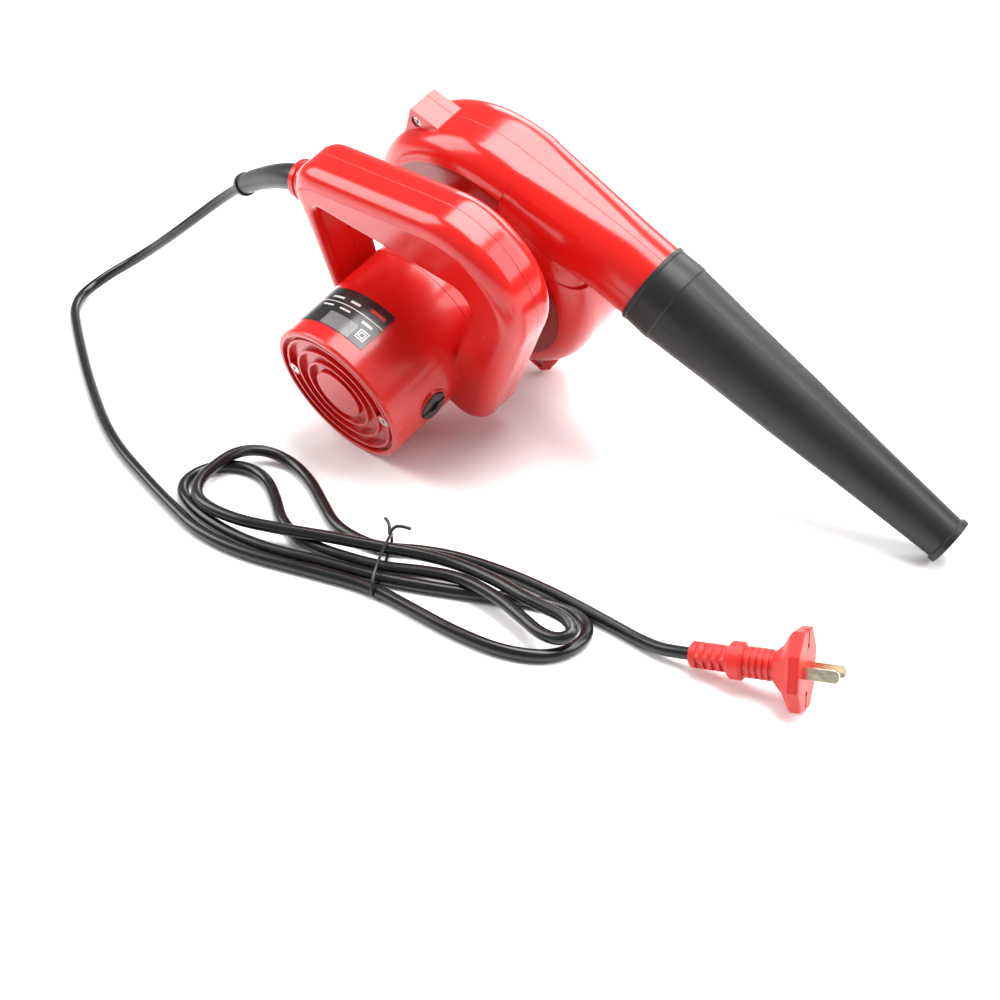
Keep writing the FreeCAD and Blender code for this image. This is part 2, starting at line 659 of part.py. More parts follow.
# ---------------------------------------------------------------- switch and controls
def trigger():
    """Finger trigger in the underside of the grip: a guided block with a dished finger face."""
    length = TRIGGER_LEN / 2
    body = grip_block(-length, length, -TRIGGER_HALF_W, TRIGGER_HALF_W, -8.5, 4.9)
    dish = Part.makeCylinder(26.0, 20.0, Vector(0, -10, -32.4), Vector(0, 1, 0))
    dish.rotate(Vector(0, 0, 0), Vector(0, 1, 0), -PULL_SLOPE)
    dish.translate(PULL_CENTRE)
    body = body.cut(dish)
    lip = grip_block(-length - 2.5, length + 2.5, -TRIGGER_HALF_W - 2.0, TRIGGER_HALF_W + 2.0, 3.0, 4.9)
    return body.fuse(lip).removeSplitter()


def switch_body():
    box = grip_block(-15.0, 15.0, -9.0, 9.0, 13.0, 28.0)
    stem = grip_block(3.0, 8.0, -2.0, 2.0, 10.3, 13.5)
    return box.fuse(stem).removeSplitter()


def trigger_spring():
    start = PULL_CENTRE + GRIP_DIRECTION * -7.0 + GRIP_NORMAL * 5.4
    return coil_spring(3.0, 0.8, 7.1, 2.5, start, GRIP_NORMAL)


def suppressor():
    """Interference capacitor, a small moulded block in the rear of the grip."""
    return grip_block(-62.0, -42.0, -4.5, 4.5, 7.0, 19.5)


def rod_path(points, radius):
    """Round rod through the points, with a ball at each bend."""
    pieces = []
    for start, end in zip(points[:-1], points[1:]):
        pieces.append(Part.makeCylinder(radius, (end - start).Length, start, end - start))
    for point in points[1:-1]:
        pieces.append(Part.makeSphere(radius, point))
    return union(pieces)


def inner_leads():
    """Two insulated conductors from the cord's end to the switch, and two from the switch to the motor."""
    leads = []
    for aside in (-1.8, 1.8):
        y = SEAM_Y + aside
        leads.append(rod_path([gland_point(21.95) + Vector(0, aside, 0), Vector(-82.8, y, 48.6),
                               Vector(-82.5, y, 56.0), Vector(-58.2, y, 88.2), Vector(-10.6, y, 102.8)], 1.1))
    for aside in (-3.2, -6.8):
        y = SEAM_Y + aside
        leads.append(rod_path([Vector(19.9, y, 114.8), Vector(44.0, y, 103.0), Vector(46.0, y, 60.0),
                               Vector(45.6, y, 28.0), Vector(41.9, y, 13.4)], 1.1))
    return Part.makeCompound(leads)


def lead_hole():
    """Way through the barrel for the two motor conductors."""
    return Part.makeCylinder(4.4, 24.0, Vector(41.0, SEAM_Y - 5.0, 10.0), Vector(0.24, 0, 0.97))


def cord_end():
    """The last of the cord's jacket, inside the handle."""
    return gland_rod(CORD_D / 2, GLAND_LEN + 2.6, 21.8)


def cord_clamp():
    """Two-screw bridge that pins the cord just inside the gland."""
    bar = Part.makeBox(4.0, 20.0, 4.0, Vector(-2.0, -10.0, -2.0))
    groove = Part.makeCylinder(CORD_D / 2 + 0.02, 6.0, Vector(-3, 0, 4.6), Vector(1, 0, 0))
    bar = bar.cut(groove)
    turn = Rotation(Vector(1, 0, 0), GLAND_DIRECTION)
    bar.Placement = FreeCAD.Placement(gland_point(19.6, 4.6), turn)
    return bar


def boot():
    """Rubber sleeve that guards the cord where it leaves the handle, drooping under the cord's weight."""
    stem = gland_rod(8.2, 0.0, GLAND_LEN + 1.5).fuse(gland_rod(9.6, GLAND_LEN + 1.3, GLAND_LEN + 2.6))
    stations = ((0.0, 0.0, 8.2, 0.0), (19.0, -2.0, 8.0, -11.0), (36.2, -6.6, 7.4, -17.0),
                (56.6, -13.8, 6.9, -22.0), (BOOT_OUT, BOOT_DROP, 6.5, -BOOT_BEND))
    wires = []
    for out, side, radius, bend in stations:
        normal = GLAND_DIRECTION * math.cos(math.radians(bend)) + BOOT_SIDE * math.sin(math.radians(bend))
        circle = Part.makeCircle(radius, gland_point(-out) + BOOT_SIDE * side, normal)
        wires.append(Part.Wire([circle]))
    sleeve = Part.makeLoft(wires, True, False)
    lip = Part.makeCylinder(7.6, 3.5, BOOT_END - BOOT_END_DIRECTION * 3.5, BOOT_END_DIRECTION)
    return stem.fuse([sleeve, lip]).removeSplitter()


BOOT_OUT = 73.0
BOOT_DROP = -21.0
BOOT_BEND = 26.0
BOOT_SIDE = Vector(-0.60, 0, 0.80)
BOOT_END_DIRECTION = (GLAND_DIRECTION * math.cos(math.radians(BOOT_BEND))
                      - BOOT_SIDE * math.sin(math.radians(BOOT_BEND)))
BOOT_END = gland_point(-BOOT_OUT) + BOOT_SIDE * BOOT_DROP + BOOT_END_DIRECTION * 3.5


# ---------------------------------------------------------------- fasteners
def pan_screw(x, z, head_y, tip_y, head_r, shank_r):
    """A cross-recess screw along Y with its head at head_y."""
    direction = 1 if tip_y > head_y else -1
    head = Part.makeCylinder(head_r, 2.4, Vector(x, head_y, z), Vector(0, direction, 0))
    shank = Part.makeCylinder(shank_r, abs(tip_y - head_y), Vector(x, head_y, z), Vector(0, direction, 0))
    screw = head.fuse(shank)
    for flat in (block(x - 2.0, x + 2.0, -1.2, 1.2, z - 0.45, z + 0.45),
                 block(x - 0.45, x + 0.45, -1.2, 1.2, z - 2.0, z + 2.0)):
        flat.translate(Vector(0, head_y, 0))
        screw = screw.cut(flat)
    return screw


def handle_screws():
    return Part.makeCompound([pan_screw(x, z, FAR_Y - 2.1, SEAM_Y - 12.0, 3.6, 1.5) for x, z in HANDLE_SCREWS])


def case_screws():
    ears = [pan_screw(x, z, -EAR_HALF_T + 1.1, 5.6, 3.6, 1.5) for x, z in (TOP_EAR_HOLE, FOOT_EAR_HOLE)]
    return Part.makeCompound(ears)


def flange_screws():
    screws = []
    for angle in (45, 135, 225, 315):
        spot = polar(50.5, angle)
        screws.append(pan_screw(spot.x, spot.z, -CASE_HALF_W + CASE_WALL + 2.4, -40.0, 3.4, 1.5))
    return Part.makeCompound(screws)


def motor_screws():
    screws = []
    for side in (0, 180):
        spot = polar(MOTOR_BOLT_R, MOTOR_BOLT_ANGLE + side)
        screws.append(pan_screw(spot.x, spot.z, MOTOR_END_Y + 1.0, -68.0, 3.6, 2.0))
    return Part.makeCompound(screws)


# ---------------------------------------------------------------- label
def rating_label():
    """Thin foil wrapped on the top of the barrel."""
    foil = ring_y(BARREL_R + 0.35, BARREL_R + 0.05, -142.6, -113.4)
    keep = block(-60, 60, -143, -113, -60, 60)
    wedge = [Vector(0, -145, 0), polar(70, 87.5, -145), polar(100, 118, -145), polar(70, 152, -145)]
    cutter = Part.Face(Part.makePolygon(wedge + [wedge[0]])).extrude(Vector(0, 40, 0))
    return foil.common(keep).common(cutter)


# ---------------------------------------------------------------- standing frame
def rim_low(centre, axis, radius, up):
    """The lowest point of a rim circle for an upward direction."""
    down = -up + axis * up.dot(axis)
    return centre + down.normalize() * radius


def rest_plane():
    """Upward normal and offset of the floor that touches the nozzle rim, the foot ear and the motor rim."""
    foot = Vector(FOOT_EAR[0] - 4, -EAR_HALF_T, FOOT_EAR[1])
    up = Vector(-0.45, 0.33, 0.83).normalize()
    for _ in range(30):
        tip = rim_low(Vector(NOZZLE_END, 0, OUTLET_Z), Vector(1, 0, 0), TIP_RIM_R, up)
        rim = rim_low(Vector(0, MOTOR_END_Y + 1.8, 0), Vector(0, 1, 0), BARREL_R, up)
        up = (tip - foot).cross(rim - foot).normalize()
        if up.z < 0:
            up = up * -1
    return up, up.dot(tip) - 0.03


UP, FLOOR = rest_plane()
AHEAD = (Vector(1, 0, 0) - UP * UP.x).normalize()
ACROSS = UP.cross(AHEAD)
STANDING = Matrix(AHEAD.x, AHEAD.y, AHEAD.z, STAND_X, ACROSS.x, ACROSS.y, ACROSS.z, STAND_Y,
                  UP.x, UP.y, UP.z, -FLOOR, 0, 0, 0, 1)


def place_vector(point):
    return STANDING.multVec(point)


def place(shape):
    return shape.transformed(STANDING, True)


def export(name, shape):
    for solid in shape.Solids:
        if not solid.isValid():
            print("not valid:", name)
    shape.exportStep("parts/" + name + ".step")


# ---------------------------------------------------------------- cord, in the standing frame
LEAD_POINTS = (
    (-306.7, -4.6, 58.0), (-342.7, -2.6, 29.0), (-369.7, -17.6, 9.0),
    (-368.7, -47.6, 3.75), (-334.7, -77.6, 3.75), (-282.7, -119.6, 3.75), (-228.7, -157.6, 3.75),
    (-176.7, -179.1, 3.75))
PLUG_AHEAD = Vector(0.968, 0.119, 0.22).normalize()
PLUG_ENTRY = Vector(157.9, -139.0, 9.3)
PLUG_ROLL = -24.0
PLUG_LEAD_POINTS = ((112.0, -136.5, 3.75), (126.5, -138.6, 3.75), (140.0, -140.4, 5.2),
                    tuple(PLUG_ENTRY - PLUG_AHEAD * 9.0), tuple(PLUG_ENTRY))
HANK_HEIGHT = 13.4
HANK_OUTLINE = (
    (-14.7, -182.5), (-52.7, -196.5), (-82.7, -203.5), (-104.7, -206.5), (-126.7, -203.5), (-152.7, -191.0),
    (-167.2, -177.0), (-166.7, -152.0), (-159.7, -133.0), (-141.7, -115.5), (-127.7, -112.5), (-106.7, -118.5),
    (-90.7, -126.5), (-73.7, -139.5), (-59.7, -149.5), (-34.7, -151.5), (-15.7, -139.5), (3.3, -132.5),
    (25.3, -129.5), (47.3, -127.5), (71.3, -128.5), (98.3, -131.0), (105.3, -148.0), (103.3, -162.0),
    (94.3, -180.0), (80.3, -186.5), (60.3, -189.5), (37.3, -189.5), (11.3, -184.5))
HANK_HOLES = (
    ((-142.7, -162.0), (-145.7, -145.0), (-137.7, -138.5), (-117.7, -147.0), (-103.7, -158.0), (-93.7, -168.0),
     (-101.7, -179.0), (-126.7, -182.0), (-136.7, -177.0)),
    ((18.3, -167.5), (48.3, -166.0), (70.3, -170.0), (82.3, -175.0), (72.3, -180.0), (40.3, -181.5),
     (18.3, -176.0)),
    ((62.3, -149.0), (80.3, -142.0), (92.3, -144.0), (96.3, -152.0), (91.3, -160.0), (76.3, -155.0)))
TIE_AT = Vector(-20.5, -166.0, 0.0)
TIE_TURN = 22.0


def cord_tube(points, diameter):
    """Round tube along straight runs joined by tangent arcs; prints the arcs' radii."""
    points = [Vector(p) for p in points]
    edges = []
    radii = []
    last = points[0]
    for before, here, after in zip(points[:-2], points[1:-1], points[2:]):
        back = (before - here).normalize()
        ahead = (after - here).normalize()
        reach = 0.45 * min((before - here).Length, (after - here).Length)
        half_turn = (math.pi - back.getAngle(ahead)) / 2
        radius = reach / math.tan(half_turn)
        radii.append(round(radius, 1))
        inward = (back + ahead).normalize() * (radius / math.cos(half_turn) - radius)
        edges.append(Part.LineSegment(last, here + back * reach).toShape())
        edges.append(Part.Arc(here + back * reach, here + inward, here + ahead * reach).toShape())
        last = here + ahead * reach
    edges.append(Part.LineSegment(last, points[-1]).toShape())
    path = Part.Wire(edges)
    section = Part.Wire([Part.makeCircle(diameter / 2, points[0], points[1] - points[0])])
    tube = path.makePipeShell([section], True, False)
    expected = math.pi * diameter ** 2 / 4 * path.Length
    print("cord radii", radii, "length", round(path.Length, 1), "volume ratio",
          round(tube.Volume / expected, 4))
    return tube


def cord_lead():
    sleeve_end = place_vector(BOOT_END)
    onward = place_vector(BOOT_END + BOOT_END_DIRECTION * 27.0)
    return cord_tube((sleeve_end, onward) + LEAD_POINTS, CORD_D)


def plug_lead():
    return cord_tube(PLUG_LEAD_POINTS, CORD_D)


def flat_slab(outline, z0, z1):
    """Slab with a softly rounded outline, drawn up from z0 to z1."""
    corners = [Vector(x, y, z0) for x, y in outline]
    curve = Part.BSplineCurve()
    curve.interpolate(Points=corners, PeriodicFlag=True)
    return Part.Face(Part.Wire([curve.toShape()])).extrude(Vector(0, 0, z1 - z0))


def cord_hank():
    """Outer shape of the tied figure-of-eight of cord, with its open loops."""
    slab = flat_slab(HANK_OUTLINE, 0.1, HANK_HEIGHT)
    slab = slab.makeFillet(3.2, [e for e in slab.Edges if e.Length > 100])
    for outline in HANK_HOLES:
        slab = slab.cut(flat_slab(outline, -1.0, HANK_HEIGHT + 1))
    start = Vector(*LEAD_POINTS[-1])
    ahead = (start - Vector(*LEAD_POINTS[-2])).normalize()
    slab = slab.fuse(Part.makeCylinder(CORD_D / 2, 30.0, start, ahead))
    start = Vector(*PLUG_LEAD_POINTS[0])
    back = (start - Vector(*PLUG_LEAD_POINTS[1])).normalize()
    return slab.fuse(Part.makeCylinder(CORD_D / 2, 26.0, start, back)).removeSplitter()


def cord_tie():
    """Wire tie round the hank's waist, biting into the cord, with its twisted end standing up."""
    top = HANK_HEIGHT + 0.9
    outer = Part.makeBox(2.2, 40.0, top - 0.15, Vector(-1.1, -20.0, 0.15))
    inner = Part.makeBox(4.0, 37.4, top - 2.0, Vector(-2.0, -18.7, 1.2))
    band = outer.cut(inner)
    tail = rod_path([Vector(0, 11.0, top - 0.3), Vector(3, 13.0, top + 4.0), Vector(9, 16.0, top + 3.0),
                     Vector(14, 20.0, top + 5.5)], 0.9)
    band = band.fuse(tail).removeSplitter()
    band.Placement = FreeCAD.Placement(TIE_AT, Rotation(Vector(0, 0, 1), TIE_TURN))
    return band


# ---------------------------------------------------------------- plug, built along +X from the cord's entry
PLUG_FACE_X = 61.5
PLUG_HEAD_H = 41.5
PLUG_HEAD_W = 30.0
BLADE_GAP = 12.7
BLADE_W = 6.35
BLADE_T = 1.5
BLADE_L = 18.0


def across_x(corners, x):
    """Closed straight-sided wire across the plug's axis from (y, z) corners."""
    points = [Vector(x, y, z) for y, z in corners]
    return Part.makePolygon(points + [points[0]])


def head_outline(width, height, x):
    """Eight-sided outline of the plug's head."""
    half_w, half_h = width / 2, height / 2
    return across_x(((-half_w, -half_h * 0.45), (-half_w * 0.5, -half_h), (half_w * 0.5, -half_h),
                     (half_w, -half_h * 0.45), (half_w, half_h * 0.45), (half_w * 0.5, half_h),
                     (-half_w * 0.5, half_h), (-half_w, half_h * 0.45)), x)


def edges_across_x(shape, x):
    """Edges that lie in the plane across the plug's axis at x."""
    return [e for e in shape.Edges if abs(e.BoundBox.XMin - x) < 0.01 and abs(e.BoundBox.XMax - x) < 0.01]


def rod_x(radius, x0, x1):
    return Part.makeCylinder(radius, x1 - x0, Vector(x0, 0, 0), Vector(1, 0, 0))


def plug_body():
    """Moulded plug: slotted strain relief, collar, ribbed neck and a flat eight-sided head."""
    relief = rod_x(7.0, 0.0, 22.0)
    relief = relief.makeChamfer(1.2, [e for e in relief.Edges if e.BoundBox.XMax < 0.1])
    for row in range(4):
        x = 4.0 + row * 4.5
        for quarter in (0, 90, 180, 270):
            cut = block(x, x + 2.2, -4.6, 4.6, 5.3, 9.0)
            cut.rotate(Vector(0, 0, 0), Vector(1, 0, 0), quarter + 45)
            relief = relief.cut(cut)
    collar = rod_x(10.0, 21.0, 29.5)
    collar = collar.makeChamfer(1.5, [e for e in collar.Edges if e.Closed])
    neck = rod_x(7.2, 29.0, 52.0)
    pieces = [collar, neck]
    for row in range(4):
        pieces.append(rod_x(8.2, 31.2 + row * 3.4, 33.2 + row * 3.4))
    shoulder = Part.makeLoft([head_outline(15.0, 15.0, 45.0), head_outline(22.0, 25.0, 50.5)], True, True)
    flare = Part.makeLoft([head_outline(22.0, 25.0, 50.4), head_outline(PLUG_HEAD_W - 3, PLUG_HEAD_H - 4, 54.0)],
                          True, True)
    rim = Part.makeLoft([head_outline(PLUG_HEAD_W - 3, PLUG_HEAD_H - 4, 53.9),
                         head_outline(PLUG_HEAD_W, PLUG_HEAD_H, 56.0)], True, True)
    head = Part.Face(head_outline(PLUG_HEAD_W, PLUG_HEAD_H, 55.9)).extrude(Vector(PLUG_FACE_X - 55.9, 0, 0))
    head = head.makeFillet(1.2, edges_across_x(head, PLUG_FACE_X))
    body = relief.fuse(pieces + [shoulder, flare, rim, head]).removeSplitter()
    for side in (1, -1):
        slot = block(PLUG_FACE_X - 3.0, PLUG_FACE_X + 1, -0.8, 0.8, 12.5, 30.0)
        bulb = Part.makeCylinder(1.6, 4.0, Vector(PLUG_FACE_X - 3.0, 0, 12.5), Vector(1, 0, 0))
        keyhole = slot.fuse(bulb)
        if side < 0:
            keyhole.rotate(Vector(0, 0, 0), Vector(1, 0, 0), 180)
        body = body.cut(keyhole)
    for side in (1, -1):
        y = side * BLADE_GAP / 2
        body = body.cut(block(PLUG_FACE_X - 14.0, PLUG_FACE_X + 1, y - BLADE_T / 2, y + BLADE_T / 2,
                              -BLADE_W / 2, BLADE_W / 2))
    return set_plug(body.removeSplitter())


def plug_pins():
    pins = []
    for side in (1, -1):
        y = side * BLADE_GAP / 2
        pin = block(PLUG_FACE_X - 14.0, PLUG_FACE_X + BLADE_L, y - BLADE_T / 2, y + BLADE_T / 2,
                    -BLADE_W / 2, BLADE_W / 2)
        ends = [e for e in pin.Edges if e.BoundBox.XMin > PLUG_FACE_X + BLADE_L - 0.1 and e.Length < 2]
        pins.append(pin.makeFillet(2.4, ends))
    return set_plug(Part.makeCompound(pins))


def set_plug(shape):
    """Lays the plug on the floor at the end of its lead, rolled onto a corner of its head."""
    shape = shape.copy()
    shape.rotate(Vector(0, 0, 0), Vector(1, 0, 0), PLUG_ROLL)
    ahead = PLUG_AHEAD
    across = Vector(-ahead.y, ahead.x, 0).normalize()
    up = ahead.cross(across)
    at = Vector(*PLUG_LEAD_POINTS[-1])
    lay = Matrix(ahead.x, across.x, up.x, at.x, ahead.y, across.y, up.y, at.y,
                 ahead.z, across.z, up.z, at.z, 0, 0, 0, 1)
    return shape.transformed(lay, True)


BLOWER = {
    "motor_housing": motor_housing,
    "handle_cover": handle_cover,
    "fan_case_rear": fan_case_rear,
    "fan_case_front": fan_case_front,
    "nozzle": nozzle,
    "rotor_shaft": rotor_shaft,
    "armature_core": armature_core,
    "armature_windings": armature_windings,
    "commutator": commutator,
    "cooling_fan": cooling_fan,
    "impeller": impeller,
    "impeller_nut": impeller_nut,
    "bearing_inner_races": bearing_inner_races,
    "bearing_outer_races": bearing_outer_races,
    "bearing_balls": bearing_balls,
    "stator_core": stator_core,
    "field_windings": field_windings,
    "bearing_plate": bearing_plate,
    "brush_holders": brush_holders,
    "carbon_brushes": carbon_brushes,
    "brush_springs": brush_springs,
    "brush_cap_front": lambda: brush_cap(1),
    "brush_cap_rear": lambda: brush_cap(-1),
    "trigger": trigger,
    "trigger_spring": trigger_spring,
    "switch_body": switch_body,
    "suppressor_capacitor": suppressor,
    "inner_leads": inner_leads,
    "cord_end": cord_end,
    "cord_clamp": cord_clamp,
    "cord_boot": boot,
    "handle_screws": handle_screws,
    "case_screws": case_screws,
    "flange_screws": flange_screws,
    "motor_screws": motor_screws,
    "rating_label": rating_label,
}

CORD = {
    "cord_lead": cord_lead,
    "cord_hank": cord_hank,
    "cord_tie": cord_tie,
    "plug_lead": plug_lead,
    "plug_body": plug_body,
    "plug_pins": plug_pins,
}

if __name__ == "__main__":
    os.makedirs("parts", exist_ok=True)
    for node, make in BLOWER.items():
        shape = place(make())
        print(node, len(shape.Solids), round(shape.Volume))
        export(node, shape)
    for node, make in CORD.items():
        shape = make()
        print(node, len(shape.Solids), round(shape.Volume))
        export(node, shape)
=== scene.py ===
import math

import bpy
from mathutils import Matrix, Vector


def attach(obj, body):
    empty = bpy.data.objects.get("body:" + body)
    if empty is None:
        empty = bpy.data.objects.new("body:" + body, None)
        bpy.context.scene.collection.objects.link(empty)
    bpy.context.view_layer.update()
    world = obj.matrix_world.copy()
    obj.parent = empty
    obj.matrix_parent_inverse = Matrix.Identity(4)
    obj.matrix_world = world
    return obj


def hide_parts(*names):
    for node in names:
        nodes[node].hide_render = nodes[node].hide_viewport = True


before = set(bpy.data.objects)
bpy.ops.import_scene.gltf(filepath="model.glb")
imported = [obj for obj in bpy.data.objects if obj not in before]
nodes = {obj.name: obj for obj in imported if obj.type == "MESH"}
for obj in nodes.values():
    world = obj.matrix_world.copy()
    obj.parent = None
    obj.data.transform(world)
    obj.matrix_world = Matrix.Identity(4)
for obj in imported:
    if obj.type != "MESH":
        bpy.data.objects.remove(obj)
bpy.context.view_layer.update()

# The blower's own axes in the row's frame: along the nozzle, along the motor, and up through the grip.
NOZZLE_AXIS = Vector((0.8922, 0.0, -0.4516))
MOTOR_AXIS = Vector((0.1707, 0.9258, 0.3373))
GRIP_AXIS = Vector((0.4181, -0.3780, 0.8260))
CENTRE = Vector((-0.07994, 0.05318, 0.09672))


# ---------------------------------------------------------------- camera
def add_camera():
    data = bpy.data.cameras.new("camera")
    camera = bpy.data.objects.new("camera", data)
    bpy.context.scene.collection.objects.link(camera)
    forward = Vector((-0.4211, 0.6929, -0.5853)).normalized()
    right = Vector((0.8425, 0.5378, 0.0305)).normalized()
    up = right.cross(forward).normalized()
    turn = Matrix((right, up, -forward)).transposed().to_4x4()
    camera.matrix_world = Matrix.Translation((0.3981, -0.7295, 0.5566)) @ turn
    data.lens = 58.07
    data.sensor_width = 36.0
    bpy.context.scene.camera = camera


add_camera()
bpy.context.scene.view_settings.view_transform = "Standard"


# ---------------------------------------------------------------- cord
HANK_SHIFT = Vector((-0.0787, 0.0525, 0.0))

LEAD = [(-239.1, -8.7, 113.0), (-260.2, 0.4, 98.7), (-306.7, -4.6, 58.0), (-342.7, -2.6, 29.0), (-369.7, -17.6, 9.0),
        (-368.7, -47.6, 3.75), (-334.7, -77.6, 3.75), (-282.7, -119.6, 3.75), (-228.7, -157.6, 3.75),
        (-176.7, -179.1, 3.75)]
# Turns of the tied hank: lower right loop, small left loop, hairpin to the right, big left loop, then out to the plug.
HANK = [(-73, -241, 3.75), (-45, -251, 3.75), (-12, -252, 3.75), (28, -243, 3.75), (65, -235.5, 3.75),
        (92, -238, 3.75), (122, -241, 3.75), (152, -240, 3.75), (177, -229, 3.75), (184, -207, 3.75),
        (176, -193.5, 3.75), (158, -192, 3.75), (138, -198, 3.75), (114, -209, 3.75), (88, -219, 3.75),
        (62, -227.5, 3.75), (30, -233, 3.75), (0, -241, 3.75), (-30, -242.5, 3.75), (-62, -236, 3.75),
        (-83, -224, 3.75), (-84, -202, 3.75), (-68, -186, 3.75), (-48, -187, 3.75), (-30, -200, 3.75),
        (-12, -217, 3.75), (12, -226, 3.75), (58, -219.5, 3.75), (80, -212, 6.5), (104, -207, 9.5),
        (130, -211, 10.8), (150, -218, 10.8), (166, -224.5, 11.2), (178, -224.5, 13.2), (181.5, -217.5, 15.6),
        (174, -212, 17.0), (160, -210.5, 16.8), (146, -209, 16.3), (126, -203.5, 14.5), (100, -200, 11.5), (78, -203, 10.8), (55, -211, 10.8),
        (28, -219, 10.8), (0, -229, 10.8), (-30, -238, 10.8), (-58, -236, 10.8), (-70, -222, 10.8),
        (-73, -203, 10.8), (-72, -184, 10.8), (-62, -170, 8.0), (-44, -167, 4.5), (-24, -175, 3.75),
        (-4, -189, 3.75), (16, -203, 3.75), (38, -206, 3.75), (52, -203, 3.75), (70, -193, 3.75),
        (92, -186, 3.75), (122, -183, 3.75), (155, -184, 3.75)]
PLUG_LEAD = [(112.0, -136.5, 3.75), (126.5, -138.6, 3.75), (140.0, -140.4, 5.2), (149.2, -140.1, 7.3),
             (157.9, -139.0, 9.3)]


def to_metres(points, shift=Vector((0, 0, 0))):
    return [Vector(p) / 1000 + shift for p in points]


def nurbs(name, points, radius, cyclic=False):
    curve = bpy.data.curves.new(name, "CURVE")
    curve.dimensions = "3D"
    curve.bevel_depth = radius
    curve.bevel_resolution = 5
    curve.resolution_u = 10
    curve.use_fill_caps = True
    spline = curve.splines.new("NURBS")
    spline.points.add(len(points) - 1)
    for point, place in zip(spline.points, points):
        point.co = (*place, 1.0)
    spline.use_cyclic_u = cyclic
    spline.order_u = 3
    spline.use_endpoint_u = not cyclic
    piece = bpy.data.objects.new(name, curve)
    bpy.context.scene.collection.objects.link(piece)
    return piece


route = to_metres(LEAD) + to_metres(HANK, HANK_SHIFT) + to_metres(PLUG_LEAD)
cord = nurbs("mains_cord", route, 0.0035)

tie_points = [(52, -199, 1.2), (51, -196.5, 7.5), (54, -201, 14.8), (60, -218, 15.6), (66, -234, 13.4), (69, -241, 8.2),
              (69, -241, 1.2), (60, -220, 0.9)]
tie = nurbs("wire_tie", to_metres(tie_points, HANK_SHIFT), 0.0009, cyclic=True)
tail_points = [(54.5, -204, 15.0), (54.5, -201.5, 18.0), (58, -198.5, 20.0), (64, -196.5, 18.5)]
tail = nurbs("wire_tie_tail", to_metres(tail_points, HANK_SHIFT), 0.0010)
loose_points = [(54, -203, 15.2), (52, -200, 18.5), (48, -197.5, 19.0), (45, -194.5, 16.5)]
loose = nurbs("wire_tie_end", to_metres(loose_points, HANK_SHIFT), 0.0010)
for piece in (tie, tail, loose):
    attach(piece, "blower")
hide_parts("cord_tie")
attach(cord, "blower")
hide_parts("cord_lead", "cord_hank", "plug_lead")


